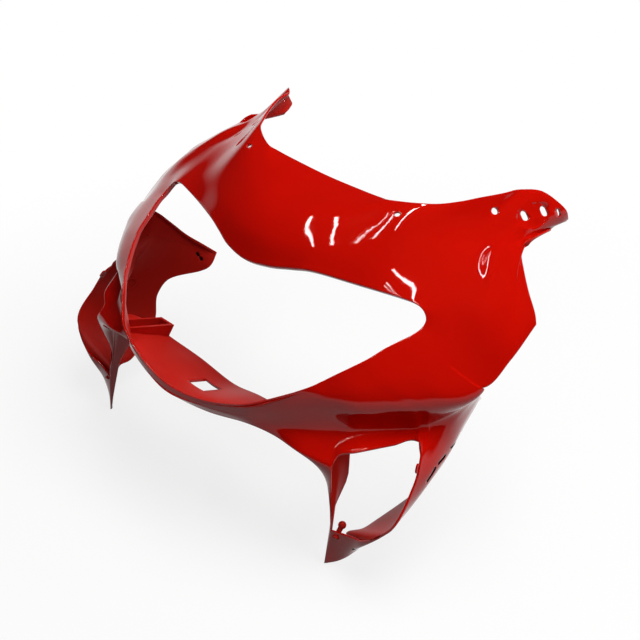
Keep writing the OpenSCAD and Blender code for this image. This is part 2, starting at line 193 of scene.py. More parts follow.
# Lower skin: stations run from the wing's top edge, 0, past the duct, 5 to 8, to the chin, 13.
lamp_low = [
    [0, [lamp_half_w - 3, 104, 241]],
    [1, [lamp_half_w - 8, 92, 237]],
    [2, [189, 78, 232]],
    [3, [184, 64, 226]],
    [5, [175, 48, 218]],
    [7, [164, 32, 209]],
    [8, [157, 23, 203]],
    [9, [147.5, 11, 196]],
    [10, [120, -13, 180]],
    [11, [98, -28, 170]],
    [12, [50, -40, chin_z + 4]],
    [13, [0, chin_y, chin_z]]
]
cheek = [
    [0, [237, 112.5, 223.5]],
    [2, [230.5, 88.5, 213]],
    [3, [221.5, 74, 209]],
    [5, [209, 56.5, 204]],
    [7, [187, 33, 196]],
    [8, [170, 21.5, 192.5]],
    [9, [149.5, 9.5, 190]],
    [10, [120, -12, 173]],
    [11, [96, -28, 164]],
    [12, [50, -40.5, chin_z - 1]],
    [13, [0, chin_y - 1.5, chin_z - 4.5]]
]
belt = [
    [0, [side_half_w - 4.5, 130, 201.5]],
    [1, [side_half_w - 7.5, 115, 193.5]],
    [2, [side_half_w - 17, 99, 191]],
    [3, [247, 86, 188]],
    [5, [236.5, 74.5, 186.5]],
    [6, [224.5, 61.5, 184.5]],
    [7, [197.5, 36, 182]],
    [8, [174.5, 22, 182]],
    [9, [151, 8.5, 179.5]],
    [10, [120, -11, 165]],
    [11, [94.5, -27.5, 156.5]],
    [12, [50, -40.5, chin_z - 3]],
    [13, [0, chin_y - 2, chin_z - 6.5]]
]
crease = [
    [0, [260, 143, 185]],
    [1, [252, 122, 169]],
    [2, [245, 105, 162]],
    [3, [240, 95, 158]],
    [5, [235, 86, 156]],
    [6, [219, 70, 154]],
    [7, [196, 42, 153]],
    [8, [178, 25, 151]],
    [9, [153, 9, 149]],
    [10, [119, -9, 147]],
    [11, [93, -27, 150]],
    [12, [50, -40.5, chin_z - 5]],
    [13, [0, chin_y - 3, chin_z - 8.5]]
]
shelf = [
    [0, [248, 158, 168]],
    [1, [248, 130, 155]],
    [2, [250, 108, 147]],
    [3, [251, 90, 145]],
    [5, [254, 66, 145]],
    [5, [254, 66, 145]],
    [5.15, [249, 69, 153.5]],
    [5.35, [240, 71, 152]],
    [6, [228, 54, 149]],
    [7, [207, 22, 145]],
    [7.6, [193, 11, 139]],
    [8, [duct_in_x + 7, 2, 131]],
    [8, [duct_in_x + 7, 2, 131]],
    [9, [157, -8, 135]],
    [10, [122, -10, 136]],
    [11, [95, -23, 143]],
    [12, [51, -37, chin_z - 12]],
    [13, [0, chin_y + 1, chin_z - 12]]
]
wall_mid = [
    [0, [238, 171, 153]],
    [1, [243, 142, 138]],
    [2, [252, 112, 125]],
    [3, [260, 84, 122]],
    [5, [duct_out_x - 4, 45, 119]],
    [5, [duct_out_x - 4, 45, 119]],
    [8, [duct_in_x - 2, 9, 83]],
    [8, [duct_in_x - 2, 9, 83]],
    [9, [169, 8, 126]],
    [10, [125, 5, 131]],
    [11, [97, -6, 138]],
    [12, [51, -16, 139]],
    [13, [0, -20, 134]]
]
wall_low = [
    [0, [228, 185, 140]],
    [1, [232, 158, 122]],
    [2, [243, 118, 107]],
    [3, [251, 74, 92]],
    [4, [254, 42, 80]],
    [5, [261, 15, 80]],
    [5, [261, 15, 80]],
    [5.4, [254, 11, 72]],
    [6, [236, 8, fin_drop + 15]],
    [7, [215, 10, fin_drop + 5]],
    [8, [duct_in_x + 2, 6, fin_drop]],
    [8, [duct_in_x + 2, 6, fin_drop]],
    [9, [175, 24, 124]],
    [10, [128, 24, 126]],
    [11, [98, 14, 132]],
    [12, [51, 10, 131]],
    [13, [0, 10, 122]]
]
bottom_edge = [
    [0, [218, wing_y, 126]],
    [0.5, [214, 186, 115]],
    [1, [219, 174, 110]],
    [1.7, [236, 135, 106]],
    [2.2, [237, 118, 92]],
    [3, [226, 102, 64]],
    [4, [209, 52, 38]],
    [4.6, [208, 34, 37.5]],
    [5.2, [200, 20, 36]],
    [5.8, [216, 22, 32]],
    [6.6, [208, 17, 16]],
    [7.3, [198, 9, 6]],
    [8, [duct_in_x, 0, 0]],
    [8, [duct_in_x, 0, 0]],
    [8.25, [183, 11, 44]],
    [8.5, [181, 18, 66]],
    [8.65, [180, 28, 78]],
    [8.8, [179, 37, 90]],
    [9, [178, 41, 117]],
    [9, [178, 41, 117]],
    [10, [132, 42, 121]],
    [11, [100, 34, 126]],
    [12, [50, 36, 121]],
    [13, [0, floor_y, 110]]
]


# How finely the skin is divided: steps along the stations and along the rows.
upper_steps = 12
lower_steps = 12
row_steps = 12
rim_steps = 6
rim_bulge = 0.6
shared_row = 2
# Open cells of the air duct: stations past the first of the lower skin, and rows.
duct_from = 5
duct_to = 8
duct_rows = (4, 6)
# Points across the return lip, as shares of its depth, and the radius of its fold.
lip_shares = [1, 0.8, 0.6, 0.4]
fold_r = 1.6
fold_steps = 4


def flip(p):
    return [-p[0], p[1], p[2]]


def shifted(c):
    return [[s + 10, p] for s, p in c]


def joined(a, b):
    """A curve of the upper skin that runs on into the lower one."""
    return a + shifted(b)[1:]


def from_centre(c):
    """With the mirrored neighbour past the centre plane, so that the halves meet without a ridge."""
    return [[-c[1][0], flip(c[1][1])]] + c


def to_centre(c):
    return c + [[2 * c[-1][0] - c[-2][0], flip(c[-2][1])]]


def tangents(s, p):
    """Slope at each point of a curve: a station given twice is a sharp corner."""
    out = np.zeros_like(p)
    last = len(s) - 1

    def slope(k):
        return (p[k + 1] - p[k]) / (s[k + 1] - s[k])

    for i in range(len(s)):
        if i == 0 or s[i] == s[i - 1]:
            out[i] = slope(i)
        elif i == last or s[i] == s[i + 1]:
            out[i] = slope(i - 1)
        else:
            a = s[i] - s[i - 1]
            b = s[i + 1] - s[i]
            out[i] = (slope(i - 1) * b + slope(i) * a) / (a + b)
    return out


def along(s, p, m, at):
    """Point of a smooth curve at one station."""
    k = max(i for i in range(len(s) - 1) if s[i] <= at + 1e-9 and s[i + 1] > s[i])
    h = s[k + 1] - s[k]
    t = (at - s[k]) / h
    a = 2 * t**3 - 3 * t**2 + 1
    b = t**3 - 2 * t**2 + t
    c = 3 * t**2 - 2 * t**3
    d = t**3 - t**2
    return a * p[k] + b * h * m[k] + c * p[k + 1] + d * h * m[k + 1]


def prepared(curves):
    """Stations, points and slopes of each feature curve."""
    out = []
    for curve in curves:
        s = [float(point[0]) for point in curve]
        p = np.array([point[1] for point in curve], float)
        out.append((s, p, tangents(s, p)))
    return out


lamp_edge = from_centre(to_centre(joined(lamp_top, lamp_low)))
brow = from_centre(to_centre(joined(hood_low, cheek)))
waist = from_centre(to_centre(joined(hood_mid, belt)))
upper_rows = prepared([lamp_edge, brow, waist, from_centre(hood_high), from_centre(outline)])
lower_rows = prepared(
    [lamp_edge, brow, waist]
    + [to_centre(shifted(c)) for c in (crease, shelf, wall_mid, wall_low, bottom_edge)]
)


def section(rows, station):
    """Curve across the skin at one station, with the shelf kept flat towards its edge."""
    s = [float(i) for i in range(len(rows))]
    p = [along(*row, station) for row in rows]
    if len(rows) > 5:
        s.insert(4, 3 + shelf_flat)
        p.insert(4, (1 - shelf_flat) * p[3] + shelf_flat * p[4])
    p = np.array(p)
    return s, p, tangents(s, p)


def at(rows, place):
    """Point of the skin at one place, as [station, row]."""
    return along(*section(rows, place[0]), place[1])


def facing_at(rows, place, e=0.02):
    """Way that the skin faces at one place."""
    run = at(rows, (place[0] + e, place[1])) - at(rows, (place[0] - e, place[1]))
    rise = at(rows, (place[0], place[1] + e)) - at(rows, (place[0], place[1] - e))
    out = np.cross(run, rise)
    return out / np.linalg.norm(out)


def across(rows, station, row_at):
    """One line of the skin's grid, from the lip's free edge over its fold and on outwards."""
    curve = section(rows, station)
    edge = along(*curve, 0)
    turned = np.array(lip_dir)
    line = [edge + lip * share * turned for share in lip_shares]
    start = min(0.5, fold_r / np.linalg.norm(along(*curve, 1) - edge))
    inner = edge + fold_r * turned
    outer = along(*curve, start)
    for k in range(fold_steps + 1):
        t = k / fold_steps
        line.append((1 - t) ** 2 * inner + 2 * t * (1 - t) * edge + t**2 * outer)
    return line + [along(*curve, v if v > 1 else start + (1 - start) * v) for v in row_at[1:]]


def skin_grid(rows, stations, row_at):
    """Points of one half of the skin: [station][row]."""
    return np.array([across(rows, station, row_at) for station in stations])


def spread(start, stop, steps):
    """Values from start to stop, so many to each whole one."""
    return [start + i / steps for i in range(int(round((stop - start) * steps)) + 1)]


# Lines of the grid on the turned-in lip and its fold, before row 0 is reached.
lip_lines = len(lip_shares) + fold_steps


def line_of(row):
    return lip_lines + row * row_steps


def both_halves():
    """The upper skin from the right side panel to the left, and the lower skin on round the chin."""
    turn = np.array([-1.0, 1.0, 1.0])
    upper = skin_grid(upper_rows, spread(0, 10, upper_steps), spread(0, 4, row_steps))
    lower = skin_grid(lower_rows, spread(10, 23, lower_steps), spread(0, 7, row_steps))
    lower[0, : line_of(shared_row) + 1] = upper[-1, : line_of(shared_row) + 1]
    upper = np.concatenate([(upper * turn)[::-1], upper[1:]])
    lower = np.concatenate([lower, (lower * turn)[::-1][1:]])
    return upper, lower


def shell_cells(upper, lower):
    """All points of the skin, and its four-sided cells with the ducts left open."""
    na, ra = upper.shape[:2]
    nb, rb = lower.shape[:2]
    shared = line_of(shared_row)

    def at_upper(i, j):
        return i * ra + j

    def at_lower(i, j):
        if i == 0 and j <= shared:
            return at_upper(na - 1, j)
        if i == nb - 1 and j <= shared:
            return at_upper(0, j)
        return na * ra + i * rb + j

    def in_duct(i, j):
        if not line_of(duct_rows[0]) <= j < line_of(duct_rows[1]):
            return False
        return any(duct_from <= k / lower_steps < duct_to for k in (i, nb - 2 - i))

    corners = ((0, 0), (1, 0), (1, 1), (0, 1))
    cells = []
    for i in range(na - 1):
        for j in range(ra - 1):
            cells.append([at_upper(i + a, j + b) for a, b in corners])
    for i in range(nb - 1):
        for j in range(rb - 1):
            if not in_duct(i, j):
                cells.append([at_lower(i + a, j + b) for a, b in corners])
    points = np.concatenate([upper.reshape(-1, 3), lower.reshape(-1, 3)])
    cells = np.array(cells)
    used = np.unique(cells)
    place = np.full(len(points), -1)
    place[used] = np.arange(len(used))
    return points[used], place[cells]


def facing_out(points, cells):
    """Direction that each point of the skin faces."""
    a, b, c, d = [points[cells[:, k]] for k in range(4)]
    cell_out = np.cross(c - a, d - b)
    cell_out /= np.linalg.norm(cell_out, axis=1)[:, None]
    out = np.zeros_like(points)
    for k in range(4):
        np.add.at(out, cells[:, k], cell_out)
    return out / np.linalg.norm(out, axis=1)[:, None]


def free_edges(cells):
    """Edges that only one cell has, each in that cell's own direction."""
    edges = np.concatenate([cells[:, [k, (k + 1) % 4]] for k in range(4)])
    low = edges.min(axis=1).astype(np.int64)
    high = edges.max(axis=1).astype(np.int64)
    key = low * (cells.max() + 1) + high
    _, first, count = np.unique(key, return_index=True, return_counts=True)
    return edges[first[count == 1]]


def shell_mesh():
    """The whole moulding: painted outside, satin inside, with a rounded rim at every free edge."""
    upper, lower = both_halves()
    points, cells = shell_cells(upper, lower)
    normals = facing_out(points, cells)
    n = len(points)
    edges = free_edges(cells)
    away = np.zeros_like(points)
    run = points[edges[:, 1]] - points[edges[:, 0]]
    for k in range(2):
        np.add.at(away, edges[:, k], np.cross(run, normals[edges[:, k]]))
    rim = np.unique(edges)
    away[rim] /= np.maximum(np.linalg.norm(away[rim], axis=1), 1e-9)[:, None]
    order = np.full(n, -1)
    order[rim] = np.arange(len(rim))
    parts = [points, points - wall * normals]
    middle = points[rim] - wall / 2 * normals[rim]
    for k in range(1, rim_steps):
        turn = math.pi * k / rim_steps
        round_it = math.cos(turn) * normals[rim] + rim_bulge * math.sin(turn) * away[rim]
        parts.append(middle + wall / 2 * round_it)

    def rim_point(v, k):
        if k == 0:
            return v
        if k == rim_steps:
            return n + v
        return 2 * n + (k - 1) * len(rim) + order[v]

    faces = [tuple(c) for c in cells]
    for a, b in edges:
        for k in range(rim_steps):
            faces.append([rim_point(v, m) for v, m in ((b, k), (a, k), (a, k + 1), (b, k + 1))])
    rims = len(faces)
    faces += [(n + c[3], n + c[2], n + c[1], n + c[0]) for c in cells]
    finish = [0] * rims + [1] * (len(faces) - rims)
    return np.concatenate(parts), faces, finish


def put_in_scene(name, data):
    made = bpy.data.objects.new(name, data)
    bpy.context.scene.collection.objects.link(made)
    return made


def add_piece(name, points, faces, finish, materials, smooth=True):
    """A mesh object at the origin. Points are in millimetres, in the source's frame."""
    mesh = bpy.data.meshes.new(name)
    placed = (np.asarray(points, float) + np.array(to_frame)) * MM
    mesh.from_pydata(placed.tolist(), [], [tuple(int(v) for v in f) for f in faces])
    for material in materials:
        mesh.materials.append(material)
    mesh.polygons.foreach_set("material_index", finish)
    mesh.polygons.foreach_set("use_smooth", [smooth] * len(faces))
    mesh.update()
    return put_in_scene(name, mesh)


def turned_to(direction):
    """Matrix that turns +Z to a direction, first down about Y and then round Z."""
    d = Vector(direction).normalized()
    return Matrix.Rotation(math.atan2(d.y, d.x), 4, "Z") @ Matrix.Rotation(math.acos(d.z), 4, "Y")


def stadium(width, length, steps=16):
    """Outline of a slotted hole, or of a round one where both sizes are equal."""
    out = []
    for end in (1, -1):
        for k in range(steps + 1):
            turn = math.pi * (k / steps - 0.5)
            x = (length - width) / 2 + width / 2 * math.cos(turn)
            y = width / 2 * math.sin(turn)
            out.append((end * x, end * y))
    return out


def in_frame(side):
    """From millimetres in the source's frame to metres in the row frame, on the left or the right."""
    return Matrix.Scale(MM, 4) @ Matrix.Translation(Vector(to_frame)) @ Matrix.Diagonal((side, 1, 1, 1))


def prism(bm, matrix, outline_points, depth):
    """A closed prism with that outline, square to the wall."""
    tidy = []
    for point in outline_points:
        if not tidy or math.dist(point, tidy[-1]) > 1e-6:
            tidy.append(point)
    if math.dist(tidy[0], tidy[-1]) < 1e-6:
        tidy.pop()
    rings = []
    for z in (-depth / 2, depth / 2):
        rings.append([bm.verts.new(matrix @ Vector((x, y, z))) for x, y in tidy])
    bm.faces.new(list(reversed(rings[0])))
    bm.faces.new(rings[1])
    count = len(tidy)
    for k in range(count):
        m = (k + 1) % count
        bm.faces.new((rings[0][k], rings[0][m], rings[1][m], rings[1][k]))


def cutter_from(bm, name, materials):
    mesh = bpy.data.meshes.new(name)
    bm.to_mesh(mesh)
    bm.free()
    for material in materials:
        mesh.materials.append(material)
    return put_in_scene(name, mesh)


def holes_to_cut():
    """One object with a prism for every hole through the wall."""
    bm = bmesh.new()
    wanted = [
        (screen_hole, screen_hole, screen_hole_d, screen_hole_d),
        (root_hole, root_hole, root_hole_d, root_hole_d),
        (tip_hole, tip_hole, tip_slot_w, tip_slot_l),
        (mirror_hole_1, mirror_pad, mirror_slot_w, mirror_slot_l),
        (mirror_hole_2, mirror_pad, mirror_slot_w, mirror_slot_l),
    ]
    for place, pad, width, length in wanted:
        turn = turned_to(facing_at(upper_rows, pad)) @ Matrix.Rotation(math.radians(slot_turn), 4, "Z")
        matrix = Matrix.Translation(Vector(at(upper_rows, place))) @ turn
        for side in (1, -1):
            prism(bm, in_frame(side) @ matrix, stadium(width, length), hole_reach)
    half_w = floor_hole_w / 2
    half_l = floor_hole_l / 2
    corner = [(half_w, half_l), (-half_w, half_l), (-half_w, -half_l), (half_w, -half_l)]
    here = Vector((0, floor_hole_y, floor_hole_z))
    prism(bm, in_frame(1) @ Matrix.Translation(here), corner, floor_hole_reach)
    return cutter_from(bm, "holes", [])


# Narrow blind slots: from one place in the lower skin to another, width, and whether outside or inside.
blind_slots = [
    ([13.72, 5.12], [13.3, 4.9], 4.2, True),
    ([12.98, 4.84], [12.45, 4.86], 3.4, True),
    ([11.95, 4.9], [11.62, 5.3], 3, True),
    ([11.24, 5.74], [11.14, 5.9], 2.6, True),
    ([16.5, 6.5], [16.64, 6.5], 2.2, True),
    ([10.42, 6.14], [10.46, 6.24], 3.6, False),
    ([10.49, 6.4], [10.53, 6.5], 3.6, False),
]
blind_depth = 1.7
blind_reach = 6
# Steps between two points of the mirror pad's edge, and how far its cutter stands over the skin.
pad_steps = 6
pad_over = 3
pad_peak = 4


def slots_to_cut(side, materials):
    """Prisms for the blind slots, with the near-black painted shade on every face."""
    bm = bmesh.new()
    for start, end, width, outside in blind_slots:
        a = Vector(at(lower_rows, start))
        b = Vector(at(lower_rows, end))
        middle = [(start[0] + end[0]) / 2, (start[1] + end[1]) / 2]
        z = Vector(facing_at(lower_rows, middle))
        x = (b - a - (b - a).dot(z) * z).normalized()
        off = blind_reach / 2 - blind_depth
        here = Vector(at(lower_rows, middle)) + z * (off if outside else -off - wall)
        turn = Matrix((x, z.cross(x), z)).transposed().to_4x4()
        shape = stadium(width, (b - a).length + width)
        prism(bm, in_frame(side) @ Matrix.Translation(here) @ turn, shape, blind_reach)
    for face in bm.faces:
        # Index 2 is the near-black painted shade of the slots.
        face.material_index = 2
    return cutter_from(bm, "slots", materials)


def recess_cutter(side):
    """What is cut away for the mirror's foot: it follows the skin and runs out at the top."""
    s = np.array([p[0] for p in pad_edge] + [pad_edge[0][0]])
    v = np.array([p[1] for p in pad_edge] + [pad_edge[0][1]])
    share = np.array([p[2] for p in pad_edge] + [pad_edge[0][2]])
    edge = []
    count = len(pad_edge)
    for i in range(count):
        before, here, after, next_one = [(i + k) % count for k in (-1, 0, 1, 2)]
        for k in range(pad_steps):
            t = k / pad_steps
            w = [
                -t / 2 + t**2 - t**3 / 2,
                1 - 2.5 * t**2 + 1.5 * t**3,
                t / 2 + 2 * t**2 - 1.5 * t**3,
                (t**3 - t**2) / 2,
            ]
            four = (before, here, after, next_one)
            edge.append([sum(share_of * a[j] for share_of, j in zip(w, four)) for a in (s, v, share)])
    n = len(edge)
    rings = []
    for inwards in (0, 0.04, 0.5):
        ring = []
        for es, ev, deep in edge:
            place = (es + inwards * (mirror_pad[0] - es), ev + inwards * (mirror_pad[1] - ev))
            full = pad_depth * max(deep, 0.05)
            down = {0: 0.25 * full, 0.04: full, 0.5: (full + pad_depth) / 2}[inwards]
            ring.append(at(upper_rows, place) - down * facing_at(upper_rows, place))
        rings.append(ring)
    lid = [at(upper_rows, e[:2]) + pad_over * facing_at(upper_rows, e[:2]) for e in edge]
    out = facing_at(upper_rows, mirror_pad)
    centre = at(upper_rows, mirror_pad)
    points = lid + rings[0] + rings[1] + rings[2] + [centre - pad_depth * out, centre + pad_peak * out]
    faces = []
    for i in range(n):
        k = (i + 1) % n
        for ring in range(3):
            faces.append((ring * n + i, ring * n + k, (ring + 1) * n + k, (ring + 1) * n + i))
        faces.append((3 * n + i, 3 * n + k, 4 * n))
        faces.append((i, 4 * n + 1, k))
    return [(p[0] * side, p[1], p[2]) for p in points], faces


def cut_away(piece, cutters):
    """Take the cutters out of a piece for good, and remove them."""
    bm = bmesh.new()
    bm.from_mesh(cutters.data)
    bmesh.ops.recalc_face_normals(bm, faces=bm.faces)
    bm.to_mesh(cutters.data)
    bm.free()
    change = piece.modifiers.new("cut", "BOOLEAN")
    change.object = cutters
    change.operation = "DIFFERENCE"
    change.solver = "EXACT"
    bpy.context.view_layer.update()
    graph = bpy.context.evaluated_depsgraph_get()
    mesh = bpy.data.meshes.new_from_object(piece.evaluated_get(graph))
    piece.modifiers.remove(change)
    old = piece.data
    piece.data = mesh
    bpy.data.meshes.remove(old)
    bpy.data.objects.remove(cutters)


def on_side(side, points, faces):
    """The piece on one side: the right one is mirrored, and its faces are turned over."""
    if side < 0:
        faces = [tuple(reversed(f)) for f in faces]
    return [(p[0] * side, p[1], p[2]) for p in points], faces


def ring_faces(count, rings, closed=False):
    """Faces between rings of points, one after another, and from the last to the first if closed."""
    faces = []
    for ring in range(rings if closed else rings - 1):
        after = (ring + 1) % rings
        for k in range(count):
            m = (k + 1) % count
            faces.append((ring * count + k, ring * count + m, after * count + m, after * count + k))
    return faces


def capped_faces(count, rings):
    """Faces of a rod made of rings, with both ends closed."""
    total = count * rings
    return [tuple(range(count))[::-1], tuple(range(total - count, total))] + ring_faces(count, rings)


def left_of(a, b):
    """Direction to the left of the way from a to b, seen from above."""
    d = np.array([a[1] - b[1], b[0] - a[0]])
    return d / np.linalg.norm(d)


def inset(line, i):
    """Corner i of a line of points, moved to its left by the wall's thickness."""
    a = left_of(line[max(i - 1, 0)], line[max(i, 1)])
    b = left_of(line[min(i, 2)], line[min(i + 1, 3)])
    return np.array(line[i][:2]) + wall * (a + b) / (1 + a @ b)


def pocket_mesh(side):
    """Open pocket on the chin floor: a wall of three sides up to a level rim."""
    feet = [at(lower_rows, place) - pocket_root * facing_at(lower_rows, place) for place in pocket_feet]
    top = feet[3][2] - wall / 2 + pocket_h
    foot = [f[:2] for f in feet]
    rim = [f + np.array(lean) for f, lean in zip(foot, pocket_lean)]
    ring = foot + [inset(foot, i) for i in (3, 2, 1, 0)]
    upper_ring = rim + [inset(rim, i) for i in (3, 2, 1, 0)]
    low = [f[2] for f in feet]
    rim_z = [top - sink for sink in pocket_sink]
    points = [(x, y, z) for (x, y), z in zip(ring, low + low[::-1])]
    points += [(x, y, z) for (x, y), z in zip(upper_ring, rim_z + rim_z[::-1])]
    n = len(ring)
    faces = []
    for i in range(3):
        faces.append((i, 7 - i, 6 - i, i + 1))
        faces.append((n + i, n + i + 1, n + 6 - i, n + 7 - i))
    for i in range(n):
        k = (i + 1) % n
        faces.append((i, k, k + n, i + n))
    return on_side(side, points, faces)


# U-shaped wire boss inside the wing, as [station, row], its wire, and how far that stands off.
loop_line = [
    [12.9, 5.3], [12.62, 5.3], [12.52, 5.33], [12.46, 5.4], [12.44, 5.5],
    [12.46, 5.6], [12.52, 5.67], [12.62, 5.7], [12.9, 5.7],
]
loop_r = 1.2
loop_above = 0.6
wire_sides = 8
wire_start = (0.3, 0.5, 0.8)
# Parting line inside the wing: start, slope and bend of its station and of its row.
parting_curve = [(11.19, -1.3, 0.36), (2.94, 2.18, 0.38)]
parting_r = 0.5
parting_steps = 24
# Return along the wing's upper edge: its first and last row, its place in the skin, and its section.
return_rows = (2.35, 6.96)
return_at = (10.01, 10.03, 10.09)
return_sunk = 1.2
return_depth = 5
return_wall = 2
return_steps = 40
# Clip eye on the duct's outer edge: its place, how far off the skin's run is read there, its outline,
# its hole, its thickness and how far it stands out into the opening.
lug_at = (15, 4.5)
lug_reach = 0.1
lug_rise = 0.2
lug_w = 5.5
lug_l = 10
lug_hole_w = 2.2
lug_hole_l = 6
lug_half_thick = 1
lug_out = 1.8
lug_steps = 10
# Pin for the duct liner: steps of its head, its sides, and the flare at its foot as (wider, higher).
pin_steps = 12
pin_sides = 32
pin_flare = [(1.2, 0), (0.4, 0.8), (0, 2)]


def inside_at(place, above=0):
    """A point over the inner face of the lower skin."""
    return at(lower_rows, place) - (wall + above) * facing_at(lower_rows, place)


def wire_mesh(line, radius, side):
    """A round wire along a line of points, with closed ends."""
    line = np.array(line)
    count = len(line)
    points = []
    up = None
    for i in range(count):
        run = line[min(i + 1, count - 1)] - line[max(i - 1, 0)]
        run /= np.linalg.norm(run)
        if up is None:
            up = np.cross(run, wire_start)
        up = up - (up @ run) * run
        up /= np.linalg.norm(up)
        out = np.cross(run, up)
        for k in range(wire_sides):
            turn = 2 * math.pi * k / wire_sides
            points.append(line[i] + radius * (math.cos(turn) * up + math.sin(turn) * out))
    faces = capped_faces(wire_sides, count)
    return on_side(side, points, faces)


def bent_loop(side):
    """Small U-shaped wire boss inside the wing."""
    return wire_mesh([inside_at(place, loop_above) for place in loop_line], loop_r, side)


def parting_line(side):
    """Fine raised line that the mould left inside the wing."""
    line = []
    for k in range(parting_steps + 1):
        t = k / parting_steps
        line.append(inside_at([a + b * t + c * t**2 for a, b, c in parting_curve]))
    return wire_mesh(line, parting_r, side)


def wing_return(side):
    """Narrow return along the wing's upper edge, turned inwards."""
    points = []
    for k in range(return_steps + 1):
        v = return_rows[0] + (return_rows[1] - return_rows[0]) * k / return_steps
        near, middle, far = [(station, v) for station in return_at]
        n = facing_at(lower_rows, middle)
        a = at(lower_rows, near) - return_sunk * n
        run = at(lower_rows, far) - at(lower_rows, near)
        b = a + return_wall * run / np.linalg.norm(run)
        grown = min(1, 6 * min(k, return_steps - k) / return_steps)
        depth = (wall - return_sunk + return_depth * grown) * n
        points += [a, b, b - depth, a - depth]
    faces = capped_faces(4, return_steps + 1)
    return on_side(side, points, faces)


def clip_lug(side):
    """Rounded eye on the duct's outer edge, for the duct liner's clip."""
    station, row = lug_at
    ring = stadium(lug_w, lug_l, lug_steps)
    eye = stadium(lug_hole_w, lug_hole_l, lug_steps)
    z = Vector(facing_at(lower_rows, (station - 0.03, row)))
    x = Vector(at(lower_rows, (station, row - lug_rise)) - at(lower_rows, (station, row + lug_rise)))
    x = (x - x.dot(z) * z).normalized()
    open_side = at(lower_rows, (station + lug_reach, row))
    shell_side = at(lower_rows, (station - lug_reach, row))
    out = Vector(open_side - shell_side).normalized()
    turn = Matrix((x, z.cross(x), z)).transposed()
    here = Vector(at(lower_rows, lug_at)) - wall / 2 * z + lug_out * out
    points = []
    for outline_points, z_at in ((ring, -1), (ring, 1), (eye, 1), (eye, -1)):
        for px, py in outline_points:
            points.append(here + turn @ Vector((px, py, z_at * lug_half_thick)))
    faces = ring_faces(len(ring), 4, closed=True)
    return on_side(side, points, faces)


def pin_mesh(side):
    """Round-headed pin for the duct liner, turned about its own axis."""
    tilt = math.radians(duct_pin_tilt)
    foot = at(lower_rows, duct_pin_at)
    neck = pin_neck_d / 2
    head = pin_head_d / 2
    start = math.asin(neck / head)
    profile = [(neck + wider, higher) for wider, higher in pin_flare]
    for k in range(pin_steps):
        turn = start + (math.pi - start) * k / pin_steps
        profile.append((head * math.sin(turn), pin_l - head * math.cos(turn)))
    points = []
    for r, h in profile:
        for k in range(pin_sides):
            turn = 2 * math.pi * k / pin_sides
            x = r * math.cos(turn)
            y = r * math.sin(turn)
            tilted_y = y * math.cos(tilt) + h * math.sin(tilt)
            tilted_z = h * math.cos(tilt) - y * math.sin(tilt)
            points.append(foot + np.array([x, tilted_y, tilted_z]))
    faces = capped_faces(pin_sides, len(profile))
    return on_side(side, points, faces)


def node(tree, kind, **values):
    made = tree.nodes.new(kind)
    for key, value in values.items():
        setattr(made, key, value)
    return made


def start_material(name):
    material = bpy.data.materials.new(name)
    material.use_nodes = True
    tree = material.node_tree
    shader = tree.nodes["Principled BSDF"]
    place = node(tree, "ShaderNodeTexCoord")
    return material, tree, shader, place.outputs["Object"]


def noise(tree, place, scale, detail):
    made = node(tree, "ShaderNodeTexNoise")
    made.inputs["Scale"].default_value = scale
    made.inputs["Detail"].default_value = detail
    tree.links.new(place, made.inputs["Vector"])
    return made.outputs["Fac"]


def colour_ramp(tree, value, stops):
    ramp = node(tree, "ShaderNodeValToRGB")
    for element, (position, colour) in zip(ramp.color_ramp.elements, stops):
        element.position = position
        element.color = (*colour, 1)
    tree.links.new(value, ramp.inputs["Fac"])
    return ramp.outputs["Color"]


def add_bump(tree, height, strength, distance, socket):
    bump = node(tree, "ShaderNodeBump")
    bump.inputs["Strength"].default_value = strength
    bump.inputs["Distance"].default_value = distance
    tree.links.new(height, bump.inputs["Height"])
    tree.links.new(bump.outputs["Normal"], socket)


def red_gloss_paint():
    """Deep red base under clear lacquer, with the faint waviness of sprayed paint."""
    material, tree, shader, place = start_material("red_gloss_paint")
    tone = noise(tree, place, 9, 2)
    colour = colour_ramp(tree, tone, [(0.3, (0.54, 0.0032, 0.0004)), (0.7, (0.58, 0.004, 0.0006))])
    tree.links.new(colour, shader.inputs["Base Color"])
    add_bump(tree, noise(tree, place, 260, 1), 0.03, 0.0004, shader.inputs["Coat Normal"])
    shader.inputs["Roughness"].default_value = 0.5
    shader.inputs["Specular IOR Level"].default_value = 0
    shader.inputs["Coat Weight"].default_value = 1
    shader.inputs["Coat Roughness"].default_value = 0.03
    shader.inputs["Coat IOR"].default_value = 1.36
    return material


def satin_inside():
    """Back of the moulding: thin dull overspray on a fine mould grain."""
    material, tree, shader, place = start_material("satin_inside")
    tone = noise(tree, place, 14, 4)
    colour = colour_ramp(tree, tone, [(0.25, (0.48, 0.010, 0.005)), (0.75, (0.57, 0.016, 0.010))])
    tree.links.new(colour, shader.inputs["Base Color"])
    add_bump(tree, noise(tree, place, 900, 2), 0.2, 0.0003, shader.inputs["Normal"])
    shader.inputs["Roughness"].default_value = 0.45
    shader.inputs["Specular IOR Level"].default_value = 0.12
    return material


def painted_slot_shade():
    """Near-black painted shade at the bottom of the narrow slots, standing in for the shade inside them."""
    material, tree, shader, place = start_material("painted_slot_shade")
    tone = noise(tree, place, 60, 2)
    colour = colour_ramp(tree, tone, [(0.3, (0.016, 0.002, 0.002)), (0.7, (0.03, 0.004, 0.004))])
    tree.links.new(colour, shader.inputs["Base Color"])
    shader.inputs["Roughness"].default_value = 0.5
    shader.inputs["Specular IOR Level"].default_value = 0.2
    return material


def seen_directly(tree):
    """1 for what the camera sees straight, in gloss or through glass, 0 for bounced light."""
    light = node(tree, "ShaderNodeLightPath")
    value = light.outputs["Is Camera Ray"]
    for ray in ("Is Glossy Ray", "Is Transmission Ray"):
        most = node(tree, "ShaderNodeMath", operation="MAXIMUM")
        tree.links.new(value, most.inputs[0])
        tree.links.new(light.outputs[ray], most.inputs[1])
        value = most.outputs[0]
    return value


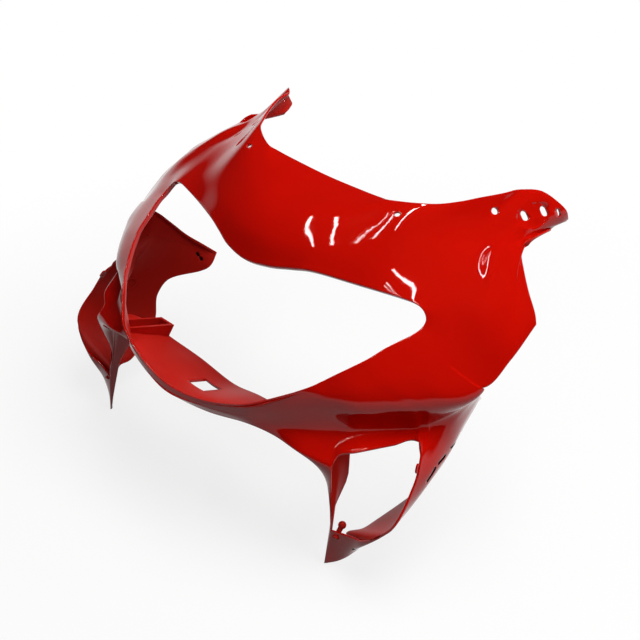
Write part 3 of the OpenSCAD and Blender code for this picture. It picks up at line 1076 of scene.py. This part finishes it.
floor_half = 6000


def pale_floor():
    """White sweep: it keeps a soft shadow near the part, and throws back little light of its own."""
    material, tree, shader, place = start_material("pale_floor")
    shader.inputs["Base Color"].default_value = (0.95, 0.95, 0.95, 1)
    shader.inputs["Roughness"].default_value = 1
    shader.inputs["Specular IOR Level"].default_value = 0
    glow = node(tree, "ShaderNodeEmission")
    glow.inputs["Color"].default_value = (1, 1, 1, 1)
    glow.inputs["Strength"].default_value = 1
    far = node(tree, "ShaderNodeVectorMath", operation="LENGTH")
    tree.links.new(place, far.inputs[0])
    share = node(tree, "ShaderNodeMapRange", interpolation_type="SMOOTHSTEP")
    share.inputs["From Min"].default_value = 0.3
    share.inputs["From Max"].default_value = 0.8
    share.inputs["To Min"].default_value = 0.8
    share.inputs["To Max"].default_value = 1
    tree.links.new(far.outputs["Value"], share.inputs["Value"])
    white = node(tree, "ShaderNodeMixShader")
    tree.links.new(share.outputs["Result"], white.inputs["Fac"])
    tree.links.new(shader.outputs["BSDF"], white.inputs[1])
    tree.links.new(glow.outputs["Emission"], white.inputs[2])
    dull = node(tree, "ShaderNodeBsdfDiffuse")
    dull.inputs["Color"].default_value = (0.18, 0.18, 0.18, 1)
    mix = node(tree, "ShaderNodeMixShader")
    tree.links.new(seen_directly(tree), mix.inputs["Fac"])
    tree.links.new(dull.outputs["BSDF"], mix.inputs[1])
    tree.links.new(white.outputs["Shader"], mix.inputs[2])
    tree.links.new(mix.outputs["Shader"], tree.nodes["Material Output"].inputs["Surface"])
    return material


def sky(tree, height, stops, strength):
    """A background that changes with height above the horizon."""
    colour = colour_ramp(tree, height, stops)
    shown = node(tree, "ShaderNodeBackground")
    tree.links.new(colour, shown.inputs["Color"])
    shown.inputs["Strength"].default_value = strength
    return shown.outputs["Background"]


def set_world():
    """White round the horizon and dark overhead where it is seen, and a faint fill for bounced light."""
    world = bpy.data.worlds.new("studio")
    bpy.context.scene.world = world
    world.use_nodes = True
    tree = world.node_tree
    tree.nodes.clear()
    place = node(tree, "ShaderNodeTexCoord")
    split = node(tree, "ShaderNodeSeparateXYZ")
    tree.links.new(place.outputs["Generated"], split.inputs["Vector"])
    height = split.outputs["Z"]
    seen = sky(tree, height, [(0.02, (1, 1, 1)), (0.2, (0.02, 0.02, 0.021))], 1)
    fill = sky(tree, height, [(0.1, (0.35, 0.35, 0.35)), (0.9, (1, 1, 1))], 0.2)
    mix = node(tree, "ShaderNodeMixShader")
    tree.links.new(seen_directly(tree), mix.inputs["Fac"])
    tree.links.new(fill, mix.inputs[1])
    tree.links.new(seen, mix.inputs[2])
    out = node(tree, "ShaderNodeOutputWorld")
    tree.links.new(mix.outputs["Shader"], out.inputs["Surface"])


def add_lamp(name, place, target, size, power, in_gloss=True):
    lamp = bpy.data.lights.new(name, "AREA")
    lamp.shape = "RECTANGLE"
    lamp.size, lamp.size_y = size
    lamp.energy = power
    shown = put_in_scene(name, lamp)
    shown.location = place
    aim = Vector(target) - Vector(place)
    shown.rotation_euler = aim.to_track_quat("-Z", "Y").to_euler()
    shown.visible_glossy = in_gloss
    return shown


# Lamps that light the part, unseen in gloss: name, place, size and power. Both aim at the same spot.
lamps = [
    ("overhead", (0.5, 0.4, 2.2), (1.8, 1.4), 41),
    ("side_fill", (2.2, 0.5, 1.5), (1.2, 1.0), 16),
]
lamps_aim = (0, 0, 0.2)

# Ceiling tubes that the hood mirrors: start and end, each across and along the tubes' run, and width.
# Their sizes are in metres, and their run is turned by so many degrees.
tube_z = 2.3
tube_run = -49
tube_radiance = 45
tubes_from = Vector((0, -0.139))
ceiling_tubes = [
    ((-0.75, -1.2), (-0.97, 0.22), 0.05),
    ((-0.56, -1.15), (-0.55, 0.24), 0.035),
    ((-0.42, -1.0), (-0.42, 0.3), 0.009),
    ((-0.33, -1.2), (-0.33, 0.3), 0.018),
    ((0, -1.4), (0, 0.42), 0.05),
]


def in_room(across_by, along_by):
    """Place on the ceiling, from how far across and along the tubes' run it is."""
    turn = math.radians(tube_run)
    run = Vector((math.cos(turn), math.sin(turn)))
    return tubes_from + run * along_by + Vector((-run.y, run.x)) * across_by


def add_tube(start, end, width):
    """One ceiling tube: it glints in the paint, and the lamps below it light the part instead."""
    start = in_room(*start)
    end = in_room(*end)
    run = end - start
    middle = (start + end) / 2
    power = tube_radiance * math.pi * width * run.length
    lamp = add_lamp("tube", (*middle, tube_z), (*middle, 0), (run.length, width), power)
    lamp.rotation_euler = (0, 0, math.atan2(run.y, run.x))
    lamp.visible_diffuse = False


# Camera, in pixels of the 640-pixel photograph: its lens, how far above the middle the horizon lies, and how
# far to the side the part's left-right lines meet. Its place is in the source's frame, in millimetres.
photo_px = 640
lens_px = 1300
horizon_px = 820
meeting_px = 1470
sensor_w = 36
camera_at = (905.79, -694.34, 927.41)


def add_camera():
    """The photograph's camera: 46.3 degrees to the part's left and 32.2 degrees up."""
    up = math.atan(horizon_px / lens_px)
    turn = math.atan(lens_px / (math.cos(up) * meeting_px))
    look = Vector((-math.sin(turn) * math.cos(up), math.cos(turn) * math.cos(up), -math.sin(up)))
    right = Vector((math.cos(turn), math.sin(turn), 0))
    top = right.cross(look)
    eye = (Vector(camera_at) + Vector(to_frame)) * MM
    lens = bpy.data.cameras.new("camera")
    lens.sensor_width = sensor_w
    lens.lens = lens_px / photo_px * sensor_w
    camera = put_in_scene("camera", lens)
    turned = Matrix((right, top, -look)).transposed().to_4x4()
    camera.matrix_world = Matrix.Translation(eye) @ turned
    bpy.context.scene.camera = camera


def main():
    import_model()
    paint = red_gloss_paint()
    back = satin_inside()
    # Near-black painted shade for the faces of the blind slots.
    slot_shade = painted_slot_shade()

    points, faces, finish = shell_mesh()
    finishes = [paint, back, slot_shade]
    shell = add_piece("moulded_shell", points, faces, finish, finishes)
    for side in (1, -1):
        points, faces = recess_cutter(side)
        cut_away(shell, add_piece("recess", points, faces, [0] * len(faces), finishes))
        cut_away(shell, slots_to_cut(side, finishes))
    cut_away(shell, holes_to_cut())
    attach(shell, "root")
    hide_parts("fairing_shell")
    small_pieces = [
        ("pocket", pocket_mesh, False, back),
        ("duct_pin", pin_mesh, True, back),
        ("wire_boss", bent_loop, True, back),
        ("parting_line", parting_line, True, back),
        ("wing_return", wing_return, False, back),
        ("clip_lug", clip_lug, False, paint),
    ]
    for side, name in ((1, "left"), (-1, "right")):
        for kind, make, smooth, finish in small_pieces:
            points, faces = make(side)
            piece = add_piece(kind + "_" + name, points, faces, [0] * len(faces), [finish], smooth=smooth)
            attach(piece, "root")

    corners = ((-1, -1), (1, -1), (1, 1), (-1, 1))
    points = [(x * floor_half, y * floor_half, -to_frame[2]) for x, y in corners]
    floor = add_piece("floor", points, [(0, 1, 2, 3)], [0], [pale_floor()], smooth=False)
    set_world()
    for name, place, size, power in lamps:
        add_lamp(name, place, lamps_aim, size, power, in_gloss=False)
    for start, end, width in ceiling_tubes:
        add_tube(start, end, width)
    add_camera()
    bpy.context.scene.view_settings.view_transform = "Standard"


main()
